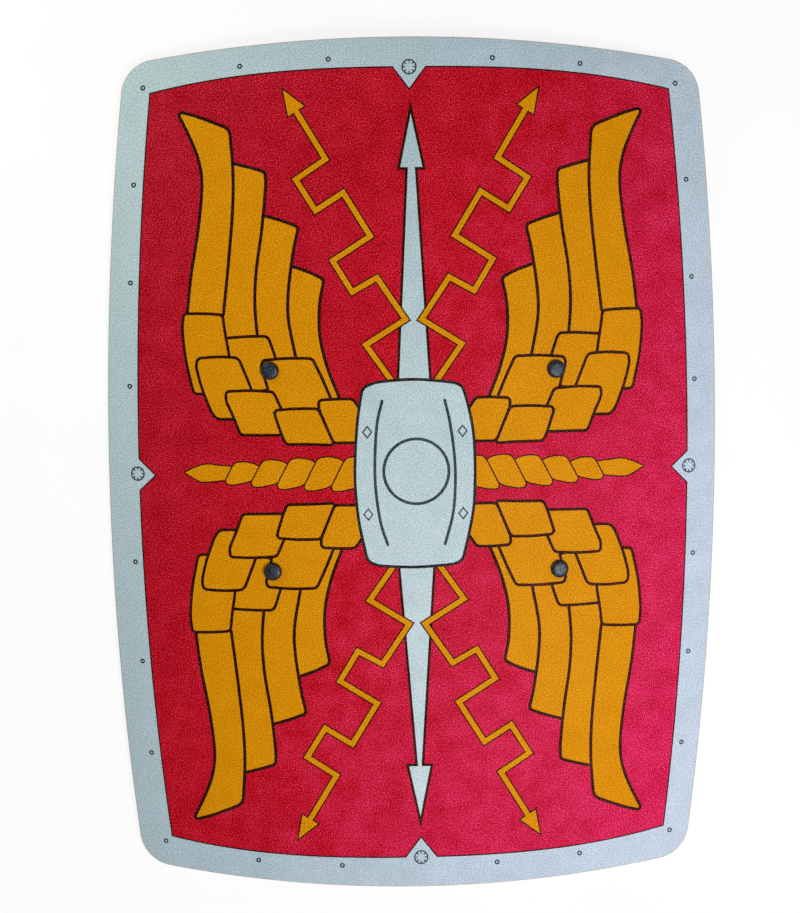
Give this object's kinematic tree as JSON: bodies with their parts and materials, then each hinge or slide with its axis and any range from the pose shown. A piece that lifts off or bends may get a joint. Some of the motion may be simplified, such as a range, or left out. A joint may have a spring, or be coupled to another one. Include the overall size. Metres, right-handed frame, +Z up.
{
  "type": "toy roman scutum shield",
  "caption": "Toy Roman scutum: bent plywood board with a printed winged thunderbolt face, domed rivets and leather grip straps on its back, lying face up.",
  "frame": {"origin": "on the ground under the middle of the board, where the shield lies face up on its two long edges", "axes": "+Y towards the shield's top, +Z up out of the printed face, +X to the right as seen from the front"},
  "size_m": [0.3686, 0.5056, 0.0236],
  "materials": {
    "printed_plywood": "satin print on birch plywood",
    "blackened_steel": "semi-gloss black",
    "strap_leather": "matt brown"
  },
  "bodies": {
    "root": {"shield_board": "printed_plywood", "rivet_top_left": "blackened_steel", "rivet_top_right": "blackened_steel", "rivet_bottom_left": "blackened_steel", "rivet_bottom_right": "blackened_steel", "strap_left": "strap_leather", "strap_right": "strap_leather"}
  },
  "joints": []
}
